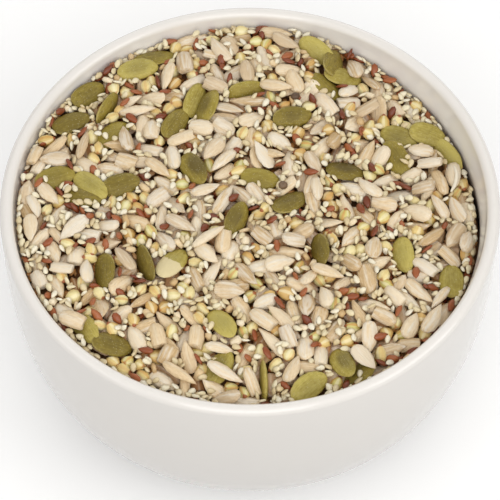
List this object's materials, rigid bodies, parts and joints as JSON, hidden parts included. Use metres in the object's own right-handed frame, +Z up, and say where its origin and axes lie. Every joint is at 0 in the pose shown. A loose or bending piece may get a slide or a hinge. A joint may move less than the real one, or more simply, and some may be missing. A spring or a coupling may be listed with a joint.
{
  "type": "bowl of seed mix",
  "caption": "Deep round white porcelain bowl filled almost to its lip with a loose mix of sunflower, pumpkin, buckwheat, sesame and flax seeds.",
  "frame": {"origin": "centre of the bowl's underside, on the plane that its foot ring rests on", "axes": "+Z up along the bowl's axis, +X to the right and +Y away from the viewer in the picture"},
  "size_m": [0.15, 0.15, 0.08],
  "materials": {
    "porcelain": "glossy warm white glaze",
    "mixed_seeds": "dry matte seeds, tan with green, cream and red-brown"
  },
  "bodies": {
    "root": {"bowl": "porcelain", "seed_mix": "mixed_seeds"}
  },
  "joints": []
}
